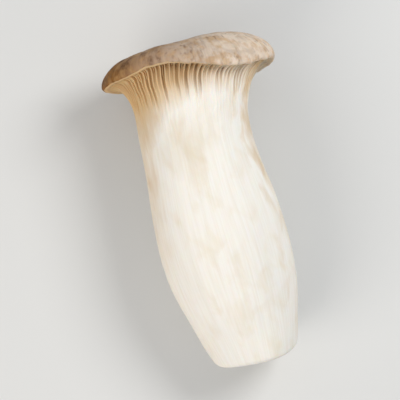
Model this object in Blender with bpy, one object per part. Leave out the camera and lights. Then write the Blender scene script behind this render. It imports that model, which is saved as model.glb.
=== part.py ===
"""King oyster mushroom: one grown piece, lying on its side with its cap towards +Y.

Run it with: blender --background --python part.py

The mushroom starts as an upright outline turned about its own length. Its gills are cut in
between by a rule, and the whole is then bent along its spine and laid on the floor at z = 0.
"""

import math
import random
from collections import namedtuple

import bmesh
import bpy
from mathutils import Vector, noise

MM = 0.001

# Cap. "Along" runs down the mushroom's length, from the level of the cap's widest ring to the foot.
CAP_RADIUS = 28.2 * MM
CAP_HEIGHT = 10.2 * MM
CAP_OFF_CENTRE = 1.8 * MM       # the cap overhangs the stem more on its +X side
CAP_TILT = math.radians(-1.2)   # the cap's +X side is held a little higher than the stem's ring there
CAP_FLATTENING = 0.92           # the cap is narrower from floor to top than from side to side
LIP_RADIUS = 1.1 * MM           # the rolled edge of the cap
LIP_TURN = 135                  # degrees by which that edge rolls under

# Each curve below is given by stations on it: place, value, and slope of the value there.
# Radius of the stem, by the length along it
NECK = (15.0 * MM, 18.8 * MM, -0.08)
WAIST = (22.0 * MM, 18.6 * MM, 0.0)
BELLY = (57.0 * MM, 21.7 * MM, 0.0)
FOOT = (96.0 * MM, 14.6 * MM, -0.36)
FOOT_ROUNDING = 1.6 * MM        # the soft edge round the cut
CUT_SLANT = math.radians(4)     # the knife didn't pass quite square
STEM_LUMPS = 0.6 * MM
FOOT_LUMPS = 1.3 * MM
LUMP_LENGTH = 26 * MM

# Gills
GILLS = 88
GILL_DEPTH = 2.7 * MM           # deepest gap between two gills, under the cap's edge
GILL_REACH = 6.2 * MM           # how far down the stem a gap lasts before it has mostly faded
REACH_SPREAD = 0.35             # how much longer or shorter that is from gap to gap
FLARE_SHARPNESS = 1.7           # exponent of the curve from the cap's edge to the neck
WANDER = 0.45                   # how far a gill strays sideways on the stem, in gill spacings
WANDER_LENGTH = 7 * MM

# Where the spine lies across, and how high, by the length along it
SPINE_X = (
    (1.0 * MM, -1.8 * MM, -0.03),
    (22.0 * MM, -3.4 * MM, -0.01),
    (60.0 * MM, -1.4 * MM, 0.09),
    (98.0 * MM, 1.6 * MM, 0.05),
)
SPINE_Z = (
    (1.0 * MM, 24.6 * MM, 0.14),
    (26.0 * MM, 25.6 * MM, -0.04),
    (62.0 * MM, 20.9 * MM, -0.13),
    (98.0 * MM, 16.4 * MM, -0.10),
)

# How much lower the cap's top lies than an even dome, from its -X edge to its +X edge, each
# place as a share of the cap's radius: it falls straighter towards -X and is fuller towards +X
DOME_SAG = (
    (-0.9, 0.3 * MM, 0),
    (-0.25, 1.85 * MM, 0),
    (0.42, -0.6 * MM, 0),
    (1.0, -0.6 * MM, 0),
)

# The cap's wavy edge, by degrees round it from +X over the top: how far it hangs at each crest
# and trough, and how far it reaches out
EDGE_HANG = (
    (0, 0.0, 0),
    (58, 3.8 * MM, 0),
    (116, -1.9 * MM, 0),
    (145, -0.4 * MM, 0),
    (182, -0.4 * MM, 0),
    (225, -0.8 * MM, 0),
    (290, 1.0 * MM, 0),
    (360, 0.0, 0),
)
EDGE_REACH = (
    (0, 0.0, 0),
    (70, 0.6 * MM, 0),
    (120, -0.4 * MM, 0),
    (182, 2.6 * MM, 0),
    (250, -0.5 * MM, 0),
    (310, 0.5 * MM, 0),
    (360, 0.0, 0),
)

# Rings of the outline
SKIN_ANGLES = (0, 10, 22, 34, 46, 57, 67, 76, 83, 90)
LIP_ANGLES = (40, 90, LIP_TURN)
FLARE_ANGLES = (11, 21, 31, 42, 53, 65, 78, 90)
STEM_ALONG_MM = (19, 24, 29, 34, 39, 44, 49, 54, 59, 64, 69, 74, 79, 84, 89, 93, 96)
CUTS_PER_GAP = 2                # a gap has a flat bottom between two cuts

SKIN, FLESH, GILL = 0, 1, 2
FINISHES = (
    ("Cap_skin", (0.34, 0.23, 0.14, 1.0), 0.62),
    ("Stem_flesh", (0.80, 0.72, 0.58, 1.0), 0.55),
    ("Gill_flesh", (0.58, 0.41, 0.24, 1.0), 0.60),
)

Ring = namedtuple("Ring", "radius along finish flare_angle")


def smooth_step(low, high, value):
    """0 below low, 1 above high, and an even S between."""
    share = min(1.0, max(0.0, (value - low) / (high - low)))
    return share * share * (3 - 2 * share)


def curve(stations, along):
    """The smooth curve through these stations, which goes straight on beyond its two ends."""
    first, last = stations[0], stations[-1]
    if along <= first[0]:
        return first[1] + (along - first[0]) * first[2]
    if along >= last[0]:
        return last[1] + (along - last[0]) * last[2]
    start, end = next((s, e) for s, e in zip(stations, stations[1:]) if along <= e[0])
    span = end[0] - start[0]
    u = (along - start[0]) / span
    return (
        (2 * u**3 - 3 * u**2 + 1) * start[1]
        + (u**3 - 2 * u**2 + u) * span * start[2]
        + (3 * u**2 - 2 * u**3) * end[1]
        + (u**3 - u**2) * span * end[2]
    )


def skin_ring(degrees):
    """The cap's top: flat in the middle, rolled down towards its edge."""
    a = math.radians(degrees)
    return Ring(CAP_RADIUS * math.sin(a) ** (2 / 3), -CAP_HEIGHT * math.cos(a), SKIN, None)


def lip_ring(degrees):
    """The rounded edge of the cap, which turns in under it."""
    a = math.radians(degrees)
    radius = CAP_RADIUS - LIP_RADIUS + LIP_RADIUS * math.cos(a)
    return Ring(radius, LIP_RADIUS * math.sin(a), SKIN, None)


def flare_ring(degrees):
    """The line of the gills' free edges, from the lip round to the neck."""
    a = math.radians(degrees)
    lip = lip_ring(LIP_TURN)
    power = 2 / FLARE_SHARPNESS
    inward = math.sin(a) ** power
    down = 1 - max(0.0, math.cos(a)) ** power
    radius = lip.radius + (NECK[1] - lip.radius) * inward
    return Ring(radius, lip.along + (NECK[0] - lip.along) * down, GILL, degrees)


def stem_ring(along):
    return Ring(curve((NECK, WAIST, BELLY, FOOT), along), along, FLESH, None)


def foot_rings():
    """The soft edge round the cut, a ring on the cut, and its middle."""
    along, radius, _ = FOOT
    edge = [
        Ring(
            radius - FOOT_ROUNDING * (1 - math.cos(a)) - FOOT_ROUNDING / 4,
            along + FOOT_ROUNDING * math.sin(a),
            FLESH,
            None,
        )
        for a in (math.radians(45), math.radians(90))
    ]
    cut = along + FOOT_ROUNDING
    return [*edge, Ring(radius / 2, cut, FLESH, None), Ring(0.0, cut, FLESH, None)]


def outline():
    """Every ring, from the middle of the cap's top to the middle of the cut foot."""
    return [
        *(skin_ring(a) for a in SKIN_ANGLES),
        *(lip_ring(a) for a in LIP_ANGLES),
        *(flare_ring(a) for a in FLARE_ANGLES),
        *(stem_ring(along * MM) for along in STEM_ALONG_MM),
        *foot_rings(),
    ]


def gap_depth(ring, gap):
    """How deep this gap between two gills is at this ring."""
    if ring.flare_angle is None:
        return 0.0
    opens = smooth_step(0, 24, ring.flare_angle)
    fades = math.exp(-((ring.along / (GILL_REACH * gap)) ** 1.6))
    return GILL_DEPTH * opens * fades * (1 - smooth_step(9 * MM, 14 * MM, ring.along))


def turned_mesh(rings):
    """The outline spun round the mushroom's length, one column for each gill."""
    bm = bmesh.new()
    row = bm.verts.layers.float.new("row")
    chain = []
    for index, ring in enumerate(rings):
        vert = bm.verts.new((ring.radius, 0, -ring.along))
        vert[row] = index
        chain.append(vert)
    edges = [bm.edges.new(pair) for pair in zip(chain, chain[1:])]
    bmesh.ops.spin(
        bm,
        geom=chain + edges,
        cent=(0, 0, 0),
        axis=(0, 0, 1),
        angle=math.tau,
        steps=GILLS,
        use_merge=True,
    )
    bmesh.ops.remove_doubles(bm, verts=bm.verts[:], dist=0.001 * MM)
    return bm, row


def split_gaps(bm, row, rings):
    """Cuts each gill ring between two gills, so that the gap there can sink."""
    gilled = {i for i, ring in enumerate(rings) if ring.flare_angle is not None}
    last = max(gilled)
    round_edges = [
        edge
        for edge in bm.edges
        if len({round(v[row]) for v in edge.verts}) == 1
        and round(edge.verts[0][row]) in gilled - {last}
    ]
    bmesh.ops.subdivide_edges(bm, edges=round_edges, cuts=CUTS_PER_GAP, use_grid_fill=True)


def upright_place(ring, turn, gap_reaches):
    """(radius, turn, along) of a point, with its gap and its lumps."""
    radius, along = ring.radius, ring.along
    direction = Vector((math.cos(turn), math.sin(turn), 0))
    place = (turn / math.tau * GILLS) % GILLS
    in_gap = abs(place - round(place)) > 0.1
    if in_gap and ring.flare_angle is not None:
        depth = gap_depth(ring, gap_reaches[int(place)])
        a = math.radians(ring.flare_angle)
        radius -= depth * math.sin(a)
        along -= depth * math.cos(a)
    below_lip = smooth_step(2 * MM, NECK[0], ring.along)
    stray = noise.noise(direction * 9 + Vector((0, 0, ring.along / WANDER_LENGTH)))
    turn += stray * WANDER * math.tau / GILLS * below_lip * (1 - smooth_step(15 * MM, 30 * MM, along))
    lumps = STEM_LUMPS + (FOOT_LUMPS - STEM_LUMPS) * smooth_step(60 * MM, 96 * MM, along)
    spot = direction * 1.1 + Vector((0, 0, along / LUMP_LENGTH))
    radius += noise.noise(spot) * lumps * below_lip * smooth_step(0, 12 * MM, ring.radius)
    return radius, turn, along


def bent_place(ring, radius, turn, along):
    """That point in the room, with the mushroom bent along its spine."""
    middle = Vector((curve(SPINE_X, along), -along, curve(SPINE_Z, along)))
    ahead = along + MM
    tangent = Vector((curve(SPINE_X, ahead), -ahead, curve(SPINE_Z, ahead))) - middle
    tangent.normalize()
    side = (Vector((1, 0, 0)) - tangent * tangent.x).normalized()
    up = tangent.cross(side)

    capped = 1.0 if ring.finish == SKIN else 0.0
    if ring.flare_angle is not None:
        capped = smooth_step(21 * MM, 25.4 * MM, ring.radius)
    share = min(1.0, ring.radius / CAP_RADIUS)
    edge = capped * share**3
    degrees = math.degrees(turn) % 360
    radius += curve(EDGE_REACH, degrees) * edge
    across = radius * math.cos(turn) + CAP_OFF_CENTRE * capped
    upward = radius * math.sin(turn) * (1 + (CAP_FLATTENING - 1) * capped)
    hang = across * math.tan(CAP_TILT) * (1 - smooth_step(2 * MM, 20 * MM, along))
    hang += curve(EDGE_HANG, degrees) * edge
    if ring.finish == SKIN:
        hang += curve(DOME_SAG, share * math.cos(turn)) * (1 - share**4)
    hang += upward * math.tan(CUT_SLANT) * smooth_step(88 * MM, FOOT[0], along)
    return middle + side * across + up * upward + tangent * hang


def mushroom():
    """The whole mushroom as one closed mesh."""
    rings = outline()
    bm, row = turned_mesh(rings)
    split_gaps(bm, row, rings)
    draw = random.Random(5)
    gap_reaches = [1 + draw.uniform(-REACH_SPREAD, REACH_SPREAD) for _ in range(GILLS)]
    for vert in bm.verts:
        ring = rings[round(vert[row])]
        turn = math.atan2(vert.co.y, vert.co.x)
        radius, turn, along = upright_place(ring, turn, gap_reaches)
        vert.co = bent_place(ring, radius, turn, along)
        vert.co.z = max(0.0, vert.co.z)     # its weight presses a small flat where it rests
    low = Vector(map(min, *(v.co for v in bm.verts)))
    high = Vector(map(max, *(v.co for v in bm.verts)))
    middle = (low + high) / 2
    bmesh.ops.translate(bm, verts=bm.verts[:], vec=(-middle.x, -middle.y, 0))
    for face in bm.faces:
        finishes = [rings[round(v[row])].finish for v in face.verts]
        face.material_index = max(finishes, key=finishes.count)
        face.smooth = True
    bmesh.ops.triangulate(bm, faces=bm.faces[:])
    bmesh.ops.recalc_face_normals(bm, faces=bm.faces[:])
    mesh = bpy.data.meshes.new("king_oyster_mushroom")
    bm.to_mesh(mesh)
    bm.free()
    return mesh


def finish(name, colour, roughness):
    material = bpy.data.materials.new(name)
    material.use_nodes = True
    shader = material.node_tree.nodes["Principled BSDF"]
    shader.inputs["Base Color"].default_value = colour
    shader.inputs["Roughness"].default_value = roughness
    shader.inputs["Metallic"].default_value = 0.0
    return material


def main():
    for old in list(bpy.data.objects):
        bpy.data.objects.remove(old)
    mesh = mushroom()
    for name, colour, roughness in FINISHES:
        mesh.materials.append(finish(name, colour, roughness))
    bpy.context.scene.collection.objects.link(bpy.data.objects.new("king_oyster_mushroom", mesh))


main()
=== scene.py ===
# %% [markdown]
# # A king oyster mushroom, dressed for its portrait
#
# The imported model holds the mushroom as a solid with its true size: a cap, gills and a thick
# stem that grew as one piece. This script gives that solid its finer surface. It could paint
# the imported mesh, but three facets to a gill are too coarse to look at closely, so the same
# outline is turned again here with many more rings, and the gills get thin edges and deep gaps.

import math
import random
from collections import namedtuple

import bmesh
import bpy
from mathutils import Matrix, Vector, noise


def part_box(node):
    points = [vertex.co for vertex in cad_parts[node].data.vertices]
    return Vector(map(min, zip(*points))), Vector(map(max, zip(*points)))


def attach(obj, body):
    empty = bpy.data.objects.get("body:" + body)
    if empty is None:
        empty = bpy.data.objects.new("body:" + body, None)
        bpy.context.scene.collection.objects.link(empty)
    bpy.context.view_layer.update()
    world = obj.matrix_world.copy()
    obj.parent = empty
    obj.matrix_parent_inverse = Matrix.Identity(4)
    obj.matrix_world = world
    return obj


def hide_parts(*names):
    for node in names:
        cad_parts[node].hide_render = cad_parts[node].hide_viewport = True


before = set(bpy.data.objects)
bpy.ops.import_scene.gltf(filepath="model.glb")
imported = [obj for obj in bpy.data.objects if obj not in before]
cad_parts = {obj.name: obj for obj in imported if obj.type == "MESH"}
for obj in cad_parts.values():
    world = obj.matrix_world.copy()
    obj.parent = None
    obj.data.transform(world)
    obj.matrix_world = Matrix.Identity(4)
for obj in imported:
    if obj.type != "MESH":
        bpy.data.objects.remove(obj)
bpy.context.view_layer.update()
NODE = "king_oyster_mushroom"
MM = 0.001

# %% [markdown]
# ## Curves through a few measured places
#
# A grown shape has no straight lines, but it can still be described with few numbers: how thick
# the stem is at its neck, waist, belly and foot, or how far the cap's edge hangs at each wave.
# A spline object could hold them. A small function is easier to reuse for a radius, a bend
# and a wave alike: each station gives a place, the value there and the slope of the value.

# %% Smooth steps and curves


def smooth_step(low, high, value):
    """0 below low, 1 above high, and an even S between."""
    share = min(1.0, max(0.0, (value - low) / (high - low)))
    return share * share * (3 - 2 * share)


def curve(stations, place):
    """The smooth curve through these stations, which goes straight on beyond its two ends."""
    first, last = stations[0], stations[-1]
    if place <= first[0]:
        return first[1] + (place - first[0]) * first[2]
    if place >= last[0]:
        return last[1] + (place - last[0]) * last[2]
    start, end = next((s, e) for s, e in zip(stations, stations[1:]) if place <= e[0])
    span = end[0] - start[0]
    share = (place - start[0]) / span
    return (
        (2 * share**3 - 3 * share**2 + 1) * start[1]
        + (share**3 - 2 * share**2 + share) * span * start[2]
        + (3 * share**2 - 2 * share**3) * end[1]
        + (share**3 - share**2) * span * end[2]
    )


print("A quarter of the way up, a smooth step has reached", smooth_step(0, 4, 1))

# %% [markdown]
# ## The outline
#
# A mushroom is nearly round about its own length, so half of its outline says most of its shape.
# The outline runs from the middle of the cap's top, over the skin, round the rolled lip, along
# the free edges of the gills, which flare out from the neck to the lip, down the stem and across
# the cut. It could be drawn by hand as one long list of points. With one rule for each stretch,
# a few sizes are enough. They are the solid's own, and "along" is the distance down the mushroom
# from the level where the cap is widest.

# %% Sizes of the outline
CAP_RADIUS = 28.2 * MM
CAP_HEIGHT = 10.2 * MM
CAP_SHOULDER = 2 / 3            # below 1, the cap's shoulder is fuller than an ellipse's
LIP_RADIUS = 1.1 * MM
LIP_TURN = 135                  # degrees by which the lip rolls under
FLARE_SHARPNESS = 1.7           # how square the curve from the lip to the neck is

# The stem at four places: along, radius, and slope of the radius
NECK = (15.0 * MM, 18.8 * MM, -0.08)
WAIST = (22.0 * MM, 18.6 * MM, 0.0)
BELLY = (57.0 * MM, 21.7 * MM, 0.0)
FOOT = (96.0 * MM, 14.6 * MM, -0.36)
FOOT_ROUNDING = 1.6 * MM        # the soft edge round the cut
print("The cap is", 2 * CAP_RADIUS / MM, "mm across before its edge waves, the belly", 2 * BELLY[1] / MM)

# %% One rule for each stretch of the outline
SKIN, FLESH, CUT = 0, 1, 2      # the finishes, by the number of their material
Ring = namedtuple("Ring", "radius along finish flare_angle")


def skin_ring(degrees):
    """The cap's top: flat in the middle, rolled down towards its edge."""
    angle = math.radians(degrees)
    radius = CAP_RADIUS * math.sin(angle) ** CAP_SHOULDER
    return Ring(radius, -CAP_HEIGHT * math.cos(angle), SKIN, None)


def lip_ring(degrees, finish=SKIN):
    """The rounded edge of the cap, which turns in under it."""
    angle = math.radians(degrees)
    radius = CAP_RADIUS - LIP_RADIUS + LIP_RADIUS * math.cos(angle)
    return Ring(radius, LIP_RADIUS * math.sin(angle), finish, None)


def flare_ring(degrees):
    """The line of the gills' free edges, from the lip at 0 degrees to the neck at 90."""
    angle = math.radians(degrees)
    lip = lip_ring(LIP_TURN)
    power = 2 / FLARE_SHARPNESS
    inward = math.sin(angle) ** power
    down = 1 - max(0.0, math.cos(angle)) ** power
    radius = lip.radius + (NECK[1] - lip.radius) * inward
    return Ring(radius, lip.along + (NECK[0] - lip.along) * down, FLESH, degrees)


def stem_ring(along):
    """The stem, through its neck, waist, belly and foot."""
    return Ring(curve((NECK, WAIST, BELLY, FOOT), along), along, FLESH, None)


def foot_edge_ring(degrees):
    """The soft edge round the cut, from the stem's side at 0 degrees to the cut at 90."""
    angle = math.radians(degrees)
    along, radius, _ = FOOT
    radius -= FOOT_ROUNDING * (1 - math.cos(angle)) + FOOT_ROUNDING / 4 * math.sin(angle)
    return Ring(radius, along + FOOT_ROUNDING * math.sin(angle), FLESH, None)


def cut_ring(share):
    """A ring on the flat of the cut, at this share of its radius."""
    return Ring(foot_edge_ring(90).radius * share, FOOT[0] + FOOT_ROUNDING, CUT, None)


print("The cut is", round(2 * foot_edge_ring(90).radius / MM, 1), "mm across")

# %% Half of the outline, as rings
SKIN_STEPS, LIP_STEPS, FLARE_STEPS, CUT_STEPS = 40, 9, 36, 20
SKIN_SPACING = 1.5              # undoes the 2/3 of the shoulder, so that the rings lie evenly
PALE_EDGE = 60                  # degrees round the lip where the brown skin ends
FOOT_EDGE_TURNS = (22, 45, 68, 90)
FINE_START_MM, FINE_END_MM = 16, 26     # here, where gills run out, the rings lie 1 mm apart
LONG_STEP_MM, LONG_STEPS = 1.4, 49      # and below it further

fine_stem = list(range(FINE_START_MM, FINE_END_MM + 1))
long_stem = [FINE_END_MM + LONG_STEP_MM * step for step in range(1, LONG_STEPS + 1)]
rings = [
    *(skin_ring(90 * (step / SKIN_STEPS) ** SKIN_SPACING) for step in range(SKIN_STEPS + 1)),
    *(
        lip_ring(turn, SKIN if turn <= PALE_EDGE else FLESH)
        for turn in (LIP_TURN * step / LIP_STEPS for step in range(1, LIP_STEPS + 1))
    ),
    *(flare_ring(90 * step / FLARE_STEPS) for step in range(1, FLARE_STEPS + 1)),
    *(stem_ring(along * MM) for along in fine_stem + long_stem),
    stem_ring(FOOT[0]),
    *(foot_edge_ring(turn) for turn in FOOT_EDGE_TURNS),
    *(cut_ring(1 - step / CUT_STEPS) for step in range(1, CUT_STEPS + 1)),
]
print(len(rings), "rings, from", rings[0].along / MM, "to", round(rings[-1].along / MM, 1), "mm along")

# %% [markdown]
# ## Turning the outline
#
# A spin makes the round body, as it would a turned bowl. Three columns to each gill are enough
# for the smooth skin and stem. Where the gills are, each column is cut in four, which gives
# twelve points across a gill and the gap beside it. Doing that everywhere would only add faces.

# %% Spin the outline and split the columns under the gills
GILLS = 88
COLUMNS_PER_GILL = 3
EXTRA_CUTS = 3
MERGE_DISTANCE = 0.001 * MM

bm = bmesh.new()
row = bm.verts.layers.float.new("row")
chain = []
for index, ring in enumerate(rings):
    vert = bm.verts.new((ring.radius, 0, -ring.along))
    vert[row] = index
    chain.append(vert)
edges = [bm.edges.new(pair) for pair in zip(chain, chain[1:])]
bmesh.ops.spin(
    bm,
    geom=chain + edges,
    cent=(0, 0, 0),
    axis=(0, 0, 1),
    angle=math.tau,
    steps=GILLS * COLUMNS_PER_GILL,
    use_merge=True,
)
bmesh.ops.remove_doubles(bm, verts=bm.verts[:], dist=MERGE_DISTANCE)

first_gill = next(i for i, ring in enumerate(rings) if ring.flare_angle is not None)
last_fine = next(i for i, ring in enumerate(rings) if ring.along >= FINE_END_MM * MM)
gill_edges = [
    edge
    for edge in bm.edges
    if round(edge.verts[0][row]) == round(edge.verts[1][row])
    and first_gill <= round(edge.verts[0][row]) < last_fine
]
bmesh.ops.subdivide_edges(bm, edges=gill_edges, cuts=EXTRA_CUTS, use_grid_fill=True)
print(len(bm.verts), "points,", len(bm.faces), "faces")

# %% [markdown]
# ## Gills
#
# Under a king oyster's cap the gills are thin blades that run down onto the stem and die out
# there. Most reach the neck, and between two of them a short one often starts at the cap's edge
# and stops after a few millimetres. Separate blades would have to be rooted in the stem one by
# one. Sinking the gaps between them into the turned body gives the same look in one closed skin.

# %% Sizes of the gills
GILL_DEPTH = 2.7 * MM           # of the deepest gap, under the cap's edge
GILL_REACH = 6.2 * MM           # how far down the stem a gap lasts before it has mostly faded
REACH_SPREAD = 0.35             # how much longer or shorter that is from gap to gap
UPPER_SHORTER = 0.14            # how much shorter it is on the side that faces up
FADE_SHARPNESS = 1.6            # above 1, a gap keeps its depth at first and then closes faster
GAPS_CLOSE = (9 * MM, 14 * MM)  # the stretch of the stem where the last of each gap closes
GAP_OPENS = 24                  # degrees round the flare by which a gap has its whole depth

# Where the side of a long and of a short gill starts and ends, in gill spacings from its middle
BLADE = (0.05, 0.23)
SHORT_BLADE = (0.03, 0.15)
SHORT_CHANCE = 0.7              # the share of the gaps that hold a short gill
SHORT_END = (18, 52)            # degrees round the flare between which it stops
SHORT_DROPS = 0.6               # the share of its length where it starts to sink
SHORT_HEIGHT = 0.85             # how much of the gap it fills
EDGE_DROP = 0.3                 # how far a long gill's edge may sink, as a share of the gap
RIB_STRENGTH = (0.2, 1.0)       # of the low ribs on the neck, from the weakest to the strongest

draw = random.Random(5)
gap_reaches = [1 + draw.uniform(-REACH_SPREAD, REACH_SPREAD) for _ in range(GILLS)]
short_ends = [draw.uniform(*SHORT_END) if draw.random() < SHORT_CHANCE else 0 for _ in range(GILLS)]
edge_drops = [draw.uniform(0.0, EDGE_DROP) for _ in range(GILLS)]
rib_strengths = [draw.uniform(*RIB_STRENGTH) for _ in range(GILLS)]
print("Short gills:", sum(end > 0 for end in short_ends), "between", GILLS, "long ones")

# %% How deep the surface sinks between two gills


def gap_share(place, ring):
    """0 on the free edge of a gill, 1 on the floor of a gap."""
    gap = int(place) % GILLS
    from_blade = abs(place - round(place))
    sunk = smooth_step(*BLADE, from_blade)
    short_end = short_ends[gap]
    if short_end:
        stands = 1 - smooth_step(short_end * SHORT_DROPS, short_end, ring.flare_angle)
        from_short = abs(place - int(place) - 0.5)
        sunk *= 1 - SHORT_HEIGHT * stands * (1 - smooth_step(*SHORT_BLADE, from_short))
    drop = edge_drops[round(place) % GILLS]
    return max(sunk, drop * (1 - from_blade * 2))


def gap_depth(place, ring):
    """How far the surface sinks here, where place counts the gills round from +X."""
    if ring.flare_angle is None:
        return 0.0
    opens = smooth_step(0, GAP_OPENS, ring.flare_angle)
    facing_up = max(0.0, math.sin(place / GILLS * math.tau))
    reach = GILL_REACH * gap_reaches[int(place) % GILLS] * (1 - UPPER_SHORTER * facing_up)
    fades = math.exp(-((ring.along / reach) ** FADE_SHARPNESS))
    fades *= 1 - smooth_step(*GAPS_CLOSE, ring.along)
    return GILL_DEPTH * opens * fades * gap_share(place, ring)


deepest = max(gap_depth(gap + 0.3, ring) for ring in rings for gap in range(GILLS))
print("The deepest gap sinks", round(deepest / MM, 2), "mm")

# %% [markdown]
# ## What growing does to a turned shape
#
# A lathe's evenness is what gives a computer's mushroom away. The stem of a real one has broad
# lumps, lengthwise fibres that stand up in faint ribs, and low ribs where the gills have run
# out. The cap is dented, and the knife leaves the foot a little rough. A sculptor would push all
# of that in by hand. Noise does it by rule: drawn out along the stem it makes ribs, and left
# round it makes dents, with sizes in millimetres.

# %% Relief that is drawn out along the mushroom
# The crowding is how closely the noise is packed round the mushroom, and the offset gives each
# its own pattern
Waves = namedtuple("Waves", "crowding length height offset")
DENTS = Waves(3.1, 15 * MM, 0.26 * MM, (4, 0))
RIBS = Waves(8.5, 34 * MM, 0.09 * MM, (0, 7))
FIBRES = Waves(21, 22 * MM, 0.03 * MM, (2, 2))
WRINKLES = Waves(14, 9 * MM, 0.06 * MM, (0, 0))

# Two more move the course of a gill sideways, and their height is in gill spacings
WANDER = Waves(9, 7 * MM, 0.45, (0, 0))
RIPPLE = Waves(12, 2.8 * MM, 0.3, (5, 0))


def drawn_out(waves, direction, along):
    """Noise that is crowded round the mushroom and stretched along it."""
    spot = direction * waves.crowding + Vector((*waves.offset, along / waves.length))
    return noise.noise(spot) * waves.height


def rough_stem(direction, along):
    """How much the stem stands out here."""
    return sum(drawn_out(waves, direction, along) for waves in (DENTS, RIBS, FIBRES))


def gill_stray(direction, along):
    """How far a gill has strayed sideways here, in gill spacings."""
    return drawn_out(WANDER, direction, along) + drawn_out(RIPPLE, direction, along)


print("Heights on the stem, in mm:", [waves.height / MM for waves in (DENTS, RIBS, FIBRES)])

# %% Lumps of the stem, and the low ribs where gills have run out
STEM_LUMPS = 0.6 * MM
FOOT_LUMPS = 1.3 * MM
FOOT_LUMPS_START = 60 * MM      # from here to the foot the lumps grow
LUMP_LENGTH = 26 * MM
LUMP_CROWDING = 1.1
CALM_RADIUS = 12 * MM           # inside this radius of the cut the lumps fade
RUN_OUT_HEIGHT = 0.14 * MM
RUN_OUT_STARTS = (7 * MM, 12 * MM)
RUN_OUT_ENDS = (13 * MM, 22 * MM)
RUN_OUT_SIDE = (0.05, 0.45)     # in gill spacings from the rib's middle


def lumps(direction, radius, along):
    """How much the stem's broad lumps stand out here."""
    to_foot = smooth_step(FOOT_LUMPS_START, FOOT[0], along)
    height = STEM_LUMPS + (FOOT_LUMPS - STEM_LUMPS) * to_foot
    spot = direction * LUMP_CROWDING + Vector((0, 0, along / LUMP_LENGTH))
    return noise.noise(spot) * height * smooth_step(0, CALM_RADIUS, radius)


def run_out_ribs(place, along):
    """How much the rib below a gill stands out here."""
    there = smooth_step(*RUN_OUT_STARTS, along) * (1 - smooth_step(*RUN_OUT_ENDS, along))
    near = 1 - smooth_step(*RUN_OUT_SIDE, abs(place - round(place)))
    return rib_strengths[round(place) % GILLS] * there * near * RUN_OUT_HEIGHT


print("Lumps are up to", STEM_LUMPS / MM, "mm high on the stem,", FOOT_LUMPS / MM, "at the foot")

# %% Relief of the cap, its edge and the cut
DENT_WIDTH, DENT_HEIGHT = 6.5 * MM, 0.30 * MM
PORE_WIDTH, PORE_HEIGHT = DENT_WIDTH / 3.3, 0.07 * MM
LIP_WAVES = ((8, 0.4 * MM), (23, 0.14 * MM))     # how crowded round the cap, and how high
TEAR_WIDTH, TEAR_DEPTH = 1.7 * MM, 0.6 * MM
FRAY_WIDTH, FRAY_HEIGHT = TEAR_WIDTH / 2.3, 0.12 * MM
SWELL_WIDTH, SWELL_HEIGHT = 6 * MM, 0.35 * MM


def spots(direction, radius, width, level=0):
    """Noise in round spots of about this width, where each level has its own pattern."""
    return noise.noise(direction * (radius / width) + Vector((0, 0, level)))


def rough_cap(direction, radius):
    """How much the cap's skin stands out here: dents, pores, and wrinkles that run outwards."""
    dents = spots(direction, radius, DENT_WIDTH, 3) * DENT_HEIGHT
    pores = spots(direction, radius, PORE_WIDTH) * PORE_HEIGHT
    return dents + pores + drawn_out(WRINKLES, direction, radius)


def rough_lip(direction):
    """How far the cap's edge strays from its wave."""
    return sum(noise.noise(direction * crowding) * height for crowding, height in LIP_WAVES)


def rough_cut(direction, radius):
    """How far the cut stands out: fibres torn by the knife, and low swells."""
    torn = -abs(spots(direction, radius, TEAR_WIDTH)) * TEAR_DEPTH
    frayed = spots(direction, radius, FRAY_WIDTH) * FRAY_HEIGHT
    return torn + frayed + spots(direction, radius, SWELL_WIDTH, 9) * SWELL_HEIGHT


print("Dents are", DENT_WIDTH / MM, "mm wide and pores", round(PORE_WIDTH / MM, 1), "mm")

# %% [markdown]
# ## The bend
#
# The stem curves a little sideways and sinks towards its foot, because the mushroom lies on its
# belly and on the lowest part of its cap. A Curve modifier could bend it. Working the bend out
# point by point keeps the cap's own tilt, its off-centre seat, its lopsided dome and its wavy
# edge in one place. All of these are the solid's own too.

# %% Sizes of the bend
CAP_OFF_CENTRE = 1.8 * MM       # the cap overhangs the stem more on its +X side
CAP_TILT = math.radians(-1.2)
CAP_FLATTENING = 0.92           # the cap is narrower from floor to top than from side to side
CAP_SEAT = (21 * MM, 25.4 * MM)  # the radius over which the gills pass from stem to cap
TILT_FADES = (2 * MM, 20 * MM)  # the stretch of the neck over which the cap's tilt is lost
CUT_SLANT = math.radians(4)     # the knife didn't pass quite square
SLANT_START = 88 * MM           # from here to the foot the rings slant more and more

# Where the spine lies across, and how high: along, value and slope
SPINE_X = (
    (1.0 * MM, -1.8 * MM, -0.03),
    (22.0 * MM, -3.4 * MM, -0.01),
    (60.0 * MM, -1.4 * MM, 0.09),
    (98.0 * MM, 1.6 * MM, 0.05),
)
SPINE_Z = (
    (1.0 * MM, 24.6 * MM, 0.14),
    (26.0 * MM, 25.6 * MM, -0.04),
    (62.0 * MM, 20.9 * MM, -0.13),
    (98.0 * MM, 16.4 * MM, -0.10),
)

# How much lower the cap's top lies than an even dome, from its -X edge to its +X edge, each
# place as a share of the cap's radius
DOME_SAG = (
    (-0.9, 0.3 * MM, 0),
    (-0.25, 1.85 * MM, 0),
    (0.42, -0.6 * MM, 0),
    (1.0, -0.6 * MM, 0),
)

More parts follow.
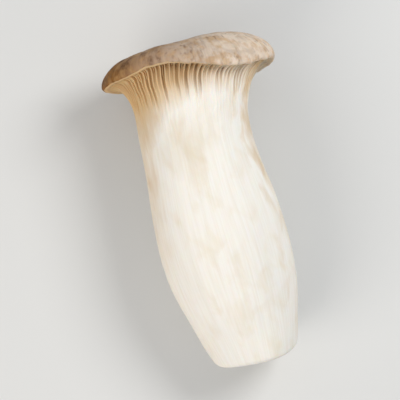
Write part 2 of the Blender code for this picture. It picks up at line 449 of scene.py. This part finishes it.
# How far the cap's edge hangs and how far it reaches out, by degrees round it from +X over
# the top
EDGE_HANG = (
    (0, 0.0, 0),
    (58, 3.8 * MM, 0),
    (116, -1.9 * MM, 0),
    (145, -0.4 * MM, 0),
    (182, -0.4 * MM, 0),
    (225, -0.8 * MM, 0),
    (290, 1.0 * MM, 0),
    (360, 0.0, 0),
)
EDGE_REACH = (
    (0, 0.0, 0),
    (70, 0.6 * MM, 0),
    (120, -0.4 * MM, 0),
    (182, 2.6 * MM, 0),
    (250, -0.5 * MM, 0),
    (310, 0.5 * MM, 0),
    (360, 0.0, 0),
)
hangs = [curve(EDGE_HANG, degrees) for degrees in range(360)]
print("The cap's edge hangs between", round(min(hangs) / MM, 1), "and", round(max(hangs) / MM, 1), "mm")

# %% Place a point of the straight mushroom in the room


def bent_place(ring, radius, turn, along):
    """The point at this radius, turn and distance down the bent spine."""
    middle = Vector((curve(SPINE_X, along), -along, curve(SPINE_Z, along)))
    ahead = along + MM
    tangent = Vector((curve(SPINE_X, ahead), -ahead, curve(SPINE_Z, ahead))) - middle
    tangent.normalize()
    side = (Vector((1, 0, 0)) - tangent * tangent.x).normalized()
    up = tangent.cross(side)

    on_cap = ring.flare_angle is None and ring.along < NECK[0]
    capped = 1.0 if on_cap else 0.0
    if ring.flare_angle is not None:
        capped = smooth_step(*CAP_SEAT, ring.radius)
    share = min(1.0, ring.radius / CAP_RADIUS)
    edge = capped * share**3        # the waves grow towards the edge
    degrees = math.degrees(turn) % 360
    radius += curve(EDGE_REACH, degrees) * edge
    across = radius * math.cos(turn) + CAP_OFF_CENTRE * capped
    upward = radius * math.sin(turn) * (1 + (CAP_FLATTENING - 1) * capped)
    hang = across * math.tan(CAP_TILT) * (1 - smooth_step(*TILT_FADES, along))
    hang += curve(EDGE_HANG, degrees) * edge
    if on_cap:                      # the dome's sag dies out at the edge
        hang += curve(DOME_SAG, share * math.cos(turn)) * (1 - share**4)
    hang += upward * math.tan(CUT_SLANT) * smooth_step(SLANT_START, FOOT[0], along)
    return middle + side * across + up * upward + tangent * hang


print("The spine drops", round((curve(SPINE_Z, 0) - curve(SPINE_Z, FOOT[0])) / MM, 1), "mm to the foot")

# %% [markdown]
# ## Shaping every point
#
# Each point knows its ring and its turn, so one loop can sink the gaps, roughen the surface and
# bend the whole. Displace modifiers could do parts of it, but not in this order. The loop also
# writes two things that the materials need later. "grown" is the point's place on the straight
# mushroom, rolled onto a tube of even thickness, so that fibres follow the stem round its bends.
# "gap" says how deep the point lies between two gills.

# %% What the materials will need
TUBE_RADIUS = 20 * MM
grown = bm.verts.layers.float_vector.new("grown")
gap = bm.verts.layers.float.new("gap")

lengths = [0.0]                 # from the middle of the cap to each ring, over the surface
for above, below in zip(rings, rings[1:]):
    step = math.hypot(below.radius - above.radius, below.along - above.along)
    lengths.append(lengths[-1] + step)
print("Over the surface it is", round(lengths[-1] / MM), "mm from the cap's middle to the cut's")

# %% Shape the points
LIP_END = 2 * MM                # the cap's roughness ends here and the stem's begins
STRAY_FADES = (15 * MM, 30 * MM)    # the stretch of the stem where the straying dies out
ROLLS_OVER = (0.8, 1.0)         # shares of the cap's radius between which its skin turns down
LIP_START = 0.84                # the share from which the cap's edge is uneven

for vert in bm.verts:
    number = round(vert[row])
    ring = rings[number]
    turn = math.atan2(vert.co.y, vert.co.x)
    place = (turn / math.tau * GILLS) % GILLS
    direction = Vector((math.cos(turn), math.sin(turn), 0))
    radius, along = ring.radius, ring.along

    depth = gap_depth(place, ring)
    vert[gap] = depth / GILL_DEPTH
    if ring.flare_angle is not None:
        angle = math.radians(ring.flare_angle)
        radius -= depth * math.sin(angle)
        along -= depth * math.cos(angle)
    vert[grown] = Vector((direction.x * TUBE_RADIUS, direction.y * TUBE_RADIUS, lengths[number]))

    below_lip = smooth_step(LIP_END, NECK[0], ring.along)
    still_strays = below_lip * (1 - smooth_step(*STRAY_FADES, along))
    turn += gill_stray(direction, ring.along) * math.tau / GILLS * still_strays
    radius += lumps(direction, ring.radius, along) * below_lip

    share = ring.radius / CAP_RADIUS
    if ring.finish == CUT:
        along += rough_cut(direction, ring.radius)
    elif ring.along < 0:
        on_top = 1 - smooth_step(*ROLLS_OVER, share)
        along -= rough_cap(direction, ring.radius) * on_top
        radius += rough_cap(direction, ring.radius) * (1 - on_top)
    else:
        radius += rough_stem(direction, along) * below_lip + run_out_ribs(place, along)
        radius += rough_cap(direction, ring.radius) * (1 - smooth_step(0, LIP_END, along))
    if ring.along < NECK[0]:
        along += rough_lip(direction) * smooth_step(LIP_START, 1.0, share)
    vert.co = bent_place(ring, radius, turn, along)

lowest = min(vert.co.z for vert in bm.verts)
print("The mushroom sinks", round(-lowest / MM, 2), "mm into the floor before it is pressed flat")

# %% [markdown]
# ## Resting
#
# A soft thing on a hard floor has small flats where it touches. A simulation could press them.
# Lifting every point that lies below the floor up to its level gives the same flats. The solid
# fixes the spine's height, so one more step is left: moving the whole over the solid's middle.

# %% Press the flats, centre the mushroom and sort its faces
for vert in bm.verts:
    vert.co.z = max(0.0, vert.co.z)
node_low, node_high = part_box(NODE)
low = Vector(map(min, *(vert.co for vert in bm.verts)))
high = Vector(map(max, *(vert.co for vert in bm.verts)))
shift = (node_low + node_high - low - high) / 2
bmesh.ops.translate(bm, verts=bm.verts[:], vec=(shift.x, shift.y, 0))
for face in bm.faces:
    face.material_index = max(rings[round(vert[row])].finish for vert in face.verts)
    face.smooth = True
bmesh.ops.recalc_face_normals(bm, faces=bm.faces[:])
print("The mushroom moved by", [round(way / MM, 2) for way in shift.xy], "mm")

# %% Hand the mesh over as the mushroom
mesh = bpy.data.meshes.new("mushroom")
bm.to_mesh(mesh)
bm.free()
mushroom = bpy.data.objects.new("mushroom", mesh)
bpy.context.scene.collection.objects.link(mushroom)
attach(mushroom, "root")
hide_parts(NODE)
mesh.calc_loop_triangles()
print(len(mesh.loop_triangles), "triangles, size", [round(side / MM, 1) for side in high - low], "mm")

# %% [markdown]
# ## Colours and nodes
#
# Colours are picked as sRGB hex codes, while Blender mixes light in linear values, so one
# function turns the first into the second. A second
# function adds one node, sets it up, links what feeds it, and hands back the output that the
# next node needs, so that each line of a material reads as one step of a recipe. A third turns
# the width and length of a grain into the scale that a Mapping node wants.

# %% Helpers for the materials
FACTOR, A, B, MIXED = 0, 6, 7, 2     # the colour sockets of a Mix node, by number


def colour(code):
    """An sRGB hex code as linear red, green, blue and alpha, by the sRGB standard's formula."""
    shares = [int(code[i : i + 2], 16) / 255 for i in (1, 3, 5)]
    linear = [s / 12.92 if s <= 0.04045 else ((s + 0.055) / 1.055) ** 2.4 for s in shares]
    return (*linear, 1.0)


def add(tree, kind, output, inputs=(), **settings):
    """Adds a node with its settings, sets or links its inputs, and returns one output."""
    made = tree.nodes.new("ShaderNode" + kind)
    for name, value in settings.items():
        setattr(made, name, value)
    for name, value in dict(inputs).items():
        if isinstance(value, bpy.types.NodeSocket):
            tree.links.new(value, made.inputs[name])
        else:
            made.inputs[name].default_value = value
    return made.outputs[output]


def grain_scale(width, length):
    """The scale of noise that draws grain this wide round the mushroom and this long down it."""
    return (1 / width, 1 / width, 1 / length)


def new_material(name):
    """A material with its tree of nodes and its shader."""
    made = bpy.data.materials.new(name)
    made.use_nodes = True
    mesh.materials.append(made)
    return made.node_tree, made.node_tree.nodes["Principled BSDF"]


def mix_count(tree):
    """How many layers of colour this material mixes."""
    return sum(node.bl_idname == "ShaderNodeMix" for node in tree.nodes)


print("Mid grey, #808080, is", round(colour("#808080")[0], 3), "in linear values, not 0.5")

# %% [markdown]
# ## Cap skin: its threads, patches and scales
#
# The skin of the cap is a dry felt of brown threads that run outwards over pale flesh. A picture
# of a real cap could be wrapped round it. Noise does the same without a seam and stays sharp:
# squeezed across and stretched along the way the cap grew, it turns into threads by itself. The
# real threads are some 0.1 mm wide, too fine to see from here, so they are drawn as bundles of
# 0.8 mm. The rays of threads and scales would crowd to a point in the middle of the cap, so a
# last value keeps them out of it.

# %% Patterns of the cap skin
THREAD_WIDTH, THREAD_LENGTH = 0.8 * MM, 8 * MM
SCALE_WIDTH, SCALE_LENGTH = 1.1 * MM, 2 * MM
PATCH, WARM_SPOT, CLUMP = 4 * MM, 3.4 * MM, 11 * MM

tree, shader = new_material("Cap_skin_felt_with_painted_glare_and_shade")
room = add(tree, "TexCoord", "Object")
grown_place = add(tree, "Attribute", "Vector", attribute_name="grown")
bundles = add(
    tree, "Mapping", "Vector", {"Vector": grown_place, "Scale": grain_scale(THREAD_WIDTH, THREAD_LENGTH)}
)
threads = add(
    tree, "TexNoise", "Fac", {"Vector": bundles, "Scale": 1.0, "Detail": 4.0, "Distortion": 0.6}
)
scaly = add(
    tree, "Mapping", "Vector", {"Vector": grown_place, "Scale": grain_scale(SCALE_WIDTH, SCALE_LENGTH)}
)
scales = add(tree, "TexNoise", "Fac", {"Vector": scaly, "Scale": 1.0, "Detail": 1.0})
clumps = add(tree, "TexNoise", "Fac", {"Vector": room, "Scale": 1 / CLUMP, "Detail": 1.0})
patches = add(
    tree, "TexNoise", "Fac", {"Vector": room, "Scale": 1 / PATCH, "Detail": 4.0, "Distortion": 0.5}
)
warm_spots = add(tree, "TexNoise", "Fac", {"Vector": room, "Scale": 1 / WARM_SPOT, "Detail": 4.0})
from_middle = add(tree, "SeparateXYZ", "Z", {"Vector": grown_place})
off_middle = add(
    tree, "MapRange", 0, {"Value": from_middle, "From Min": 3 * MM, "From Max": 12 * MM}
)
print("Threads are", THREAD_WIDTH / MM, "mm wide, scales", SCALE_WIDTH / MM, "and patches", PATCH / MM)

# %% [markdown]
# ## Cap skin: its browns
#
# The cap is brown at its -X end, the left one in the picture, and pales to a greyish beige
# towards the other. That paleness is painted glare, and the dark -X end is partly the cap's own
# brown and partly painted shade. Its middle is a little darker. Dark patches lie over that,
# strongest on the brown side, and warm spots between them. One Color Ramp could hold all the
# browns, but then each would sit at one level of one pattern. A Mix for each works as a painter's
# glazes do: it is laid over the last by its own pattern, and can be made stronger or weaker by itself.

# %% Brown from side to side, with painted glare and shade, patches and warm spots
across_room = add(tree, "SeparateXYZ", "X", {"Vector": room})
# Towards +X the cap pales with painted glare; its dark -X end is partly its own brown and partly painted
# shade
painted_glare_and_shade_across_cap = add(
    tree, "MapRange", 0, {"Value": across_room, "From Min": -24 * MM, "From Max": 14 * MM}
)
brown = add(
    tree,
    "Mix",
    MIXED,
    {FACTOR: painted_glare_and_shade_across_cap, A: colour("#875A27"), B: colour("#DDCDBC")},
    data_type="RGBA",
)
middle_share = add(
    tree,
    "MapRange",
    0,
    {"Value": from_middle, "From Min": 4 * MM, "From Max": 19 * MM, "To Min": 0.6, "To Max": 0.0},
)
brown = add(
    tree, "Mix", MIXED, {FACTOR: middle_share, A: brown, B: colour("#7D5C44")}, data_type="RGBA"
)
patchy = add(
    tree,
    "MapRange",
    0,
    {"Value": across_room, "From Min": -24 * MM, "From Max": 6 * MM, "To Min": 1.0, "To Max": 0.25},
)
patch_share = add(tree, "MapRange", 0, {"Value": patches, "From Min": 0.47, "From Max": 0.65})
patch_share = add(tree, "Math", 0, {0: patch_share, 1: patchy}, operation="MULTIPLY")
brown = add(
    tree, "Mix", MIXED, {FACTOR: patch_share, A: brown, B: colour("#654427")}, data_type="RGBA"
)
warm_share = add(
    tree, "MapRange", 0, {"Value": warm_spots, "From Min": 0.48, "From Max": 0.64, "To Max": 0.5}
)
brown = add(
    tree, "Mix", MIXED, {FACTOR: warm_share, A: brown, B: colour("#BB9260")}, data_type="RGBA"
)
print("The cap skin mixes", mix_count(tree), "layers so far")

# %% [markdown]
# ## Cap skin: the colours of its threads and scales
#
# Pale threads show where the felt is thin, and dark ones where it is thick, so both come from
# one pattern, the pale from its high values and the dark from its low ones. The scales are the
# torn tips of threads. They are dark and sit in clumps, so their pattern is multiplied by a
# broader one.

# %% Threads and scales
pale_share = add(
    tree, "MapRange", 0, {"Value": threads, "From Min": 0.48, "From Max": 0.78, "To Max": 0.3}
)
pale_share = add(tree, "Math", 0, {0: pale_share, 1: off_middle}, operation="MULTIPLY")
brown = add(
    tree, "Mix", MIXED, {FACTOR: pale_share, A: brown, B: colour("#CDAA7C")}, data_type="RGBA"
)
dark_share = add(
    tree, "MapRange", 0, {"Value": threads, "From Min": 0.5, "From Max": 0.24, "To Max": 0.26}
)
dark_share = add(tree, "Math", 0, {0: dark_share, 1: off_middle}, operation="MULTIPLY")
brown = add(
    tree, "Mix", MIXED, {FACTOR: dark_share, A: brown, B: colour("#70482A")}, data_type="RGBA"
)
scale_share = add(
    tree, "MapRange", 0, {"Value": scales, "From Min": 0.56, "From Max": 0.76, "To Max": 0.6}
)
clump_share = add(tree, "MapRange", 0, {"Value": clumps, "From Min": 0.42, "From Max": 0.58})
scale_share = add(tree, "Math", 0, {0: scale_share, 1: clump_share}, operation="MULTIPLY")
scale_share = add(tree, "Math", 0, {0: scale_share, 1: off_middle}, operation="MULTIPLY")
brown = add(
    tree, "Mix", MIXED, {FACTOR: scale_share, A: brown, B: colour("#6A4D3C")}, data_type="RGBA"
)
tree.links.new(brown, shader.inputs["Base Color"])
print("The cap skin mixes", mix_count(tree), "layers")

# %% [markdown]
# ## Cap skin: its relief and gloss
#
# Felt scatters light, so the skin is rough and its gloss is weak. Its threads could be modelled,
# but they are a tenth of a millimetre high, so a Bump node is enough to turn them into relief.
# A little light passes through the skin into the flesh, which takes the hardness off the
# shadows in the relief.

# %% Finish of the cap skin
relief = add(tree, "Bump", 0, {"Height": threads, "Strength": 0.6, "Distance": 0.12 * MM})
relief = add(
    tree, "Bump", 0, {"Height": scales, "Strength": 0.4, "Distance": 0.1 * MM, "Normal": relief}
)
tree.links.new(relief, shader.inputs["Normal"])
felt = add(
    tree,
    "MapRange",
    0,
    {"Value": threads, "From Min": 0.3, "From Max": 0.7, "To Min": 0.66, "To Max": 0.78},
)
tree.links.new(felt, shader.inputs["Roughness"])
shader.inputs["IOR"].default_value = 1.4
shader.inputs["Specular IOR Level"].default_value = 0.25
shader.inputs["Subsurface Weight"].default_value = 0.12
shader.inputs["Subsurface Radius"].default_value = (1.0, 0.5, 0.25)
shader.inputs["Subsurface Scale"].default_value = 1.0 * MM
print("The cap skin has", len(tree.nodes), "nodes")

# %% [markdown]
# ## Flesh: its fibres, stains and bruise
#
# The stem is bare flesh, built of threads that run its whole length, with faint ochre stains
# where it was touched or has dried, and one larger, weaker bruise below the neck. Painting them
# by hand would need a picture. The same noise as on the cap makes the first two, only stretched
# further, and the bruise is a ball of space that the stains fray at its edge.

# %% Patterns of the flesh
FIBRE_WIDTH, FIBRE_LENGTH = 0.7 * MM, 18 * MM
STAIN_WIDTH, STAIN_LENGTH = 6 * MM, 11 * MM

tree, shader = new_material("Raw_flesh_with_painted_shade")
room = add(tree, "TexCoord", "Object")
grown_place = add(tree, "Attribute", "Vector", attribute_name="grown")
axes = add(tree, "SeparateXYZ", "X", {"Vector": grown_place}).node.outputs
fibre_place = add(
    tree, "Mapping", "Vector", {"Vector": grown_place, "Scale": grain_scale(FIBRE_WIDTH, FIBRE_LENGTH)}
)
fibres = add(tree, "TexNoise", "Fac", {"Vector": fibre_place, "Scale": 1.0, "Detail": 4.0})
stain_place = add(
    tree, "Mapping", "Vector", {"Vector": grown_place, "Scale": grain_scale(STAIN_WIDTH, STAIN_LENGTH)}
)
stains = add(
    tree, "TexNoise", "Fac", {"Vector": stain_place, "Scale": 1.0, "Detail": 5.0, "Distortion": 0.4}
)
print("Fibres are", FIBRE_WIDTH / MM, "mm wide and", FIBRE_LENGTH / MM, "mm long")

# %% Cream, stains and the bruise
BRUISE = (-4 * MM, 20 * MM, 60 * MM)     # its middle, as a place in "grown"
BRUISE_FRAY = -18 * MM          # a stain lets the bruise reach up to this much further out

fibre_share = add(
    tree, "MapRange", 0, {"Value": fibres, "From Min": 0.4, "From Max": 0.8, "To Max": 0.6}
)
cream = add(
    tree,
    "Mix",
    MIXED,
    {FACTOR: fibre_share, A: colour("#F1EEE8"), B: colour("#E5DED1")},
    data_type="RGBA",
)
stain_share = add(
    tree, "MapRange", 0, {"Value": stains, "From Min": 0.5, "From Max": 0.8, "To Max": 0.36}
)
cream = add(
    tree, "Mix", MIXED, {FACTOR: stain_share, A: cream, B: colour("#D8C49D")}, data_type="RGBA"
)
from_bruise = add(
    tree, "VectorMath", "Value", {0: grown_place, 1: BRUISE}, operation="DISTANCE"
)
frayed = add(
    tree, "Math", 0, {0: stains, 1: BRUISE_FRAY, 2: from_bruise}, operation="MULTIPLY_ADD"
)
bruise_share = add(
    tree, "MapRange", 0, {"Value": frayed, "From Min": 4 * MM, "From Max": -8 * MM, "To Max": 0.3}
)
cream = add(
    tree, "Mix", MIXED, {FACTOR: bruise_share, A: cream, B: colour("#CDBB98")}, data_type="RGBA"
)
print("The flesh mixes", mix_count(tree), "layers so far")

# %% [markdown]
# ## Flesh: its tan, and painted shade on its flanks
#
# The left flank of the stem is tanned, in a strip that widens towards the cap. That strip is partly
# the stem's own tan and partly painted shade, and its redder core at the far edge is painted shade.
# The weaker strip on the right flank is painted shade too. Both fade down the stem. Those are
# places, not patterns, so they are found from where a point grew: how far round it is, the first
# of the three numbers in "grown", and how far down, the last. The stains are added to the place
# first, which frays the edges.

# %% Tan and painted shade on the flanks
FRAY = 14 * MM                  # how far the stains move an edge in all

gill_start = lengths[first_gill]
fray = add(tree, "Math", 0, {0: stains, 1: 0.5}, operation="SUBTRACT")
fray = add(tree, "Math", 0, {0: fray, 1: FRAY}, operation="MULTIPLY")
round_stem = add(tree, "Math", 0, {0: axes["X"], 1: fray}, operation="ADD")
strip_edge = add(
    tree,
    "MapRange",
    0,
    {
        "Value": axes["Z"],
        "From Min": gill_start + 8 * MM,
        "From Max": gill_start + 26 * MM,
        "To Min": -6 * MM,
        "To Max": -14.5 * MM,
    },
)
into_strip = add(tree, "Math", 0, {0: strip_edge, 1: round_stem}, operation="SUBTRACT")
# The left strip is partly the stem's own tan and partly painted shade
tan_and_painted_shade_share = add(tree, "MapRange", 0, {"Value": into_strip, "From Max": 8 * MM, "To Max": 0.68})
# The weaker strip on the right flank is painted shade
painted_shade_far_flank = add(
    tree,
    "MapRange",
    0,
    {"Value": round_stem, "From Min": 16 * MM, "From Max": 21 * MM, "To Max": 0.55},
)
tan_and_painted_shade_share = add(tree, "Math", 0, {0: tan_and_painted_shade_share, 1: painted_shade_far_flank}, operation="MAXIMUM")
flank_tint_fades = add(
    tree,
    "MapRange",
    0,
    {
        "Value": axes["Z"],
        "From Min": gill_start + 34 * MM,
        "From Max": gill_start + 66 * MM,
        "To Min": 1.0,
        "To Max": 0.3,
    },
)
tan_and_painted_shade_share = add(tree, "Math", 0, {0: tan_and_painted_shade_share, 1: flank_tint_fades}, operation="MULTIPLY")
cream = add(
    tree, "Mix", MIXED, {FACTOR: tan_and_painted_shade_share, A: cream, B: colour("#C7A570")}, data_type="RGBA"
)
# The redder core at the far left edge is painted shade
painted_shade_flank_core = add(
    tree,
    "MapRange",
    0,
    {"Value": into_strip, "From Min": 9 * MM, "From Max": 13 * MM, "To Max": 0.7},
)
cream = add(
    tree, "Mix", MIXED, {FACTOR: painted_shade_flank_core, A: cream, B: colour("#A87C48")}, data_type="RGBA"
)
print("The gills begin", round(gill_start / MM, 1), "mm from the middle of the cap, over its skin")

# %% [markdown]
# ## Flesh: the ochre of the gills
#
# The gills are ochre down to where they run out, further on the left than on the right, where
# the ochre is also paler. Just under the lip lies a band of a duller brown, strong only in the
# middle, between the tanned flank and the pale right side: painted shadow of the lip. Weight
# painting could mark both. The two numbers for round and down are at hand already, so each is a
# few more ranges of them.

# %% Ochre gills
ochre_reach = add(
    tree,
    "MapRange",
    0,
    {
        "Value": round_stem,
        "From Min": -16 * MM,
        "From Max": 2 * MM,
        "To Min": gill_start + 20 * MM,
        "To Max": gill_start + 11.5 * MM,
    },
)
to_reach = add(tree, "Math", 0, {0: ochre_reach, 1: axes["Z"]}, operation="SUBTRACT")
ochre_share = add(tree, "MapRange", 0, {"Value": to_reach, "From Max": 8 * MM, "To Max": 0.85})
paler = add(
    tree,
    "MapRange",
    0,
    {"Value": round_stem, "From Min": 1 * MM, "From Max": 12 * MM, "To Min": 1.0, "To Max": 0.55},
)
ochre_share = add(tree, "Math", 0, {0: ochre_share, 1: paler}, operation="MULTIPLY")
cream = add(
    tree, "Mix", MIXED, {FACTOR: ochre_share, A: cream, B: colour("#D2B180")}, data_type="RGBA"
)
print("The flesh mixes", mix_count(tree), "layers so far")

# %% The painted shadow under the lip, a browner band
# This browner band is painted shadow, which the lip casts on the top of the gills
painted_lip_shadow = add(
    tree,
    "MapRange",
    0,
    {
        "Value": axes["Z"],
        "From Min": gill_start + 10 * MM,
        "From Max": gill_start + 3 * MM,
        "To Max": 0.5,
    },
)
off_right = add(
    tree,
    "MapRange",
    0,
    {"Value": round_stem, "From Min": 1 * MM, "From Max": 9 * MM, "To Min": 1.0, "To Max": 0.15},
)
painted_lip_shadow = add(tree, "Math", 0, {0: painted_lip_shadow, 1: off_right}, operation="MULTIPLY")
off_flank = add(
    tree,
    "MapRange",
    0,
    {"Value": round_stem, "From Min": -12 * MM, "From Max": -3 * MM, "To Min": 0.3, "To Max": 1.0},
)
painted_lip_shadow = add(tree, "Math", 0, {0: painted_lip_shadow, 1: off_flank}, operation="MULTIPLY")
cream = add(
    tree, "Mix", MIXED, {FACTOR: painted_lip_shadow, A: cream, B: colour("#A98B66")}, data_type="RGBA"
)
print("The flesh mixes", mix_count(tree), "layers so far")

# %% [markdown]
# ## Flesh: painted shade in the gaps between the gills
#
# Deep between two gills little light comes back out. Real shadows fall there by themselves,
# since the gaps are modelled, and a brown painted into the gaps deepens them as painted shade.
# The colour could come from an Ambient Occlusion node, which is slow and is lost in some other
# programs. The "gap" numbers, written while the gaps were sunk, say the same. The painted shade
# is lighter by the tanned flank.

# %% Painted shade in the gaps
sunk_share = add(tree, "Attribute", "Fac", attribute_name="gap")
# The brown in the gaps is painted shade, on top of the real shadows there
painted_gap_shade_share = add(
    tree, "MapRange", 0, {"Value": sunk_share, "From Min": 0.06, "From Max": 0.55, "To Max": 0.75}
)
painted_gap_shade_colour = add(
    tree,
    "Mix",
    MIXED,
    {FACTOR: off_flank, A: colour("#CFAA74"), B: colour("#AF8A5B")},
    data_type="RGBA",
)
cream = add(
    tree, "Mix", MIXED, {FACTOR: painted_gap_shade_share, A: cream, B: painted_gap_shade_colour}, data_type="RGBA"
)
tree.links.new(cream, shader.inputs["Base Color"])
print("The flesh mixes", mix_count(tree), "layers")

# %% [markdown]
# ## Flesh: its gloss and glow
#
# Fresh flesh has a satin surface, a little rougher on some fibres than on others. Light sinks
# into it by a millimetre or two before it comes out again. A warmer colour could fake that.
# Subsurface scattering does it truly, and takes the grey out of the shadows, with red going
# further than blue.

# %% Finish of the flesh
GRAIN = 0.45 * MM

grain = add(tree, "TexNoise", "Fac", {"Vector": room, "Scale": 1 / GRAIN, "Detail": 2.0})
relief = add(tree, "Bump", 0, {"Height": fibres, "Strength": 0.4, "Distance": 0.1 * MM})
relief = add(
    tree, "Bump", 0, {"Height": grain, "Strength": 0.3, "Distance": 0.06 * MM, "Normal": relief}
)
tree.links.new(relief, shader.inputs["Normal"])
satin = add(
    tree,
    "MapRange",
    0,
    {"Value": fibres, "From Min": 0.3, "From Max": 0.7, "To Min": 0.48, "To Max": 0.6},
)
tree.links.new(satin, shader.inputs["Roughness"])
shader.inputs["IOR"].default_value = 1.4
shader.inputs["Specular IOR Level"].default_value = 0.4
shader.inputs["Subsurface Weight"].default_value = 0.35
shader.inputs["Subsurface Radius"].default_value = (1.0, 0.65, 0.4)
shader.inputs["Subsurface Scale"].default_value = 1.1 * MM
print("The flesh has", len(tree.nodes), "nodes")

# %% [markdown]
# ## The cut foot
#
# The knife goes through the same flesh across its threads. So the cut is whiter than the skin
# round it, and its grain is made of dots in place of lines. Its rim dries first and turns tan.
# The stem's material could be kept, but its noise is stretched down the stem and would show no
# grain here, so the cut has one of its own.

# %% Patterns and whites of the cut
DOT, CLOUD = 0.7 * MM, 6 * MM

tree, shader = new_material("Flesh_cut_across_its_threads")
room = add(tree, "TexCoord", "Object")
grown_place = add(tree, "Attribute", "Vector", attribute_name="grown")
from_cap = add(tree, "SeparateXYZ", "Z", {"Vector": grown_place})
dots = add(tree, "TexNoise", "Fac", {"Vector": room, "Scale": 1 / DOT, "Detail": 3.0})
clouds = add(
    tree, "TexNoise", "Fac", {"Vector": room, "Scale": 1 / CLOUD, "Detail": 4.0, "Distortion": 0.5}
)
white = add(
    tree, "Mix", MIXED, {FACTOR: dots, A: colour("#F8F4EA"), B: colour("#EADFC9")}, data_type="RGBA"
)
cloud_share = add(
    tree, "MapRange", 0, {"Value": clouds, "From Min": 0.48, "From Max": 0.75, "To Max": 0.5}
)
white = add(
    tree, "Mix", MIXED, {FACTOR: cloud_share, A: white, B: colour("#D3BE95")}, data_type="RGBA"
)
print("Dots on the cut are", DOT / MM, "mm wide and clouds", CLOUD / MM, "mm")

# %% Dry rim and finish of the cut
cut_start = lengths[-CUT_STEPS - 1]
rim_share = add(
    tree,
    "MapRange",
    0,
    {"Value": from_cap, "From Min": cut_start + 2.4 * MM, "From Max": cut_start - 0.5 * MM},
)
broken = add(
    tree, "MapRange", 0, {"Value": clouds, "From Min": 0.4, "From Max": 0.62, "To Max": 0.6}
)
rim_share = add(tree, "Math", 0, {0: rim_share, 1: broken}, operation="MULTIPLY")
white = add(
    tree, "Mix", MIXED, {FACTOR: rim_share, A: white, B: colour("#C3A67A")}, data_type="RGBA"
)
tree.links.new(white, shader.inputs["Base Color"])
relief = add(tree, "Bump", 0, {"Height": dots, "Strength": 0.8, "Distance": 0.2 * MM})
tree.links.new(relief, shader.inputs["Normal"])
shader.inputs["Roughness"].default_value = 0.6
shader.inputs["IOR"].default_value = 1.4
shader.inputs["Specular IOR Level"].default_value = 0.35
shader.inputs["Subsurface Weight"].default_value = 0.3
shader.inputs["Subsurface Radius"].default_value = (1.0, 0.65, 0.4)
shader.inputs["Subsurface Scale"].default_value = 1.6 * MM
print("The cut has", len(tree.nodes), "nodes")

# %% [markdown]
# ## Floor and light
#
# A pale matte floor takes soft shadows without drawing the eye. The light is that of a white
# tent: a bright world all round, and two lamps as strong as each other. One stands high on the
# picture's top right and draws the form. The other is about twice as wide and stands lower, on
# the left, where it keeps that flank warm. A sun could take the place of the first, but the
# shadows of its small disc are harder.

# %% Floor
FLOOR_SIZE = 1.5

floor_bm = bmesh.new()
bmesh.ops.create_grid(floor_bm, x_segments=1, y_segments=1, size=FLOOR_SIZE)
floor_mesh = bpy.data.meshes.new("floor")
floor_bm.to_mesh(floor_mesh)
floor_bm.free()
floor = bpy.data.objects.new("floor", floor_mesh)
bpy.context.scene.collection.objects.link(floor)
paper = bpy.data.materials.new("Pale_matte_paper")
paper.use_nodes = True
paper_shader = paper.node_tree.nodes["Principled BSDF"]
paper_shader.inputs["Base Color"].default_value = colour("#D9DADA")
paper_shader.inputs["Roughness"].default_value = 0.9
floor_mesh.materials.append(paper)
print("The floor reaches", FLOOR_SIZE, "m each way")

# %% Lamps and world
WORLD_STRENGTH = 0.48


def lamp(name, place, aim, size, power, tint):
    """A round lamp that looks from one place at another, in metres and watts."""
    light = bpy.data.lights.new(name, "AREA")
    light.shape = "DISK"
    light.size = size
    light.energy = power
    light.color = colour(tint)[:3]
    made = bpy.data.objects.new(name, light)
    made.location = place
    beam = Vector(aim) - Vector(place)
    made.rotation_euler = beam.to_track_quat("-Z", "Y").to_euler()
    bpy.context.scene.collection.objects.link(made)
    print("The", name, "lamp is", size, "m wide and", round(beam.length, 2), "m away")


lamp("key", (0.34, 0.17, 0.46), (0, 0.01, 0.02), 0.26, 1.9, "#FFFEFB")
lamp("fill", (-0.42, -0.24, 0.36), (0, 0, 0.02), 0.5, 1.9, "#FFF8EE")
world = bpy.data.worlds.new("soft_room")
world.use_nodes = True
background = world.node_tree.nodes["Background"]
background.inputs["Color"].default_value = colour("#EEF0F3")
background.inputs["Strength"].default_value = WORLD_STRENGTH
bpy.context.scene.world = world
bpy.context.scene.view_settings.view_transform = "Standard"

# %% [markdown]
# ## Camera
#
# The photograph looks straight down on the mushroom with a long lens, and the mushroom leans to
# the left in it. An empty could be tracked, but a camera that looks straight down only needs its
# two axes: it hangs over the middle, is rolled by that lean, and is as far away as makes the
# mushroom fill the wanted share of the picture.

# %% Camera from above
LEAN = math.radians(12)
LENS, SENSOR = 250, 36
FRAME_SHARE = 0.84              # how much of the picture's height the mushroom takes
MIDDLE_HEIGHT = 25 * MM         # of the mushroom, above the floor

right = Vector((math.cos(LEAN), -math.sin(LEAN), 0))
up = Vector((math.sin(LEAN), math.cos(LEAN), 0))
along_right = [vert.co.dot(right) for vert in mesh.vertices]
along_up = [vert.co.dot(up) for vert in mesh.vertices]
middle = right * (max(along_right) + min(along_right)) / 2 + up * (max(along_up) + min(along_up)) / 2
height = (max(along_up) - min(along_up)) / FRAME_SHARE
distance = height / 2 / (SENSOR / 2 / LENS)
camera = bpy.data.objects.new("camera", bpy.data.cameras.new("camera"))
camera.data.lens, camera.data.sensor_width = LENS, SENSOR
camera.data.clip_start, camera.data.clip_end = 0.01, 10
camera.matrix_world = Matrix((
    (right.x, up.x, 0, middle.x),
    (right.y, up.y, 0, middle.y),
    (0, 0, 1, distance + MIDDLE_HEIGHT),
    (0, 0, 0, 1),
))
bpy.context.scene.collection.objects.link(camera)
bpy.context.scene.camera = camera
print("The camera hangs", round(distance, 3), "m above the mushroom's middle")
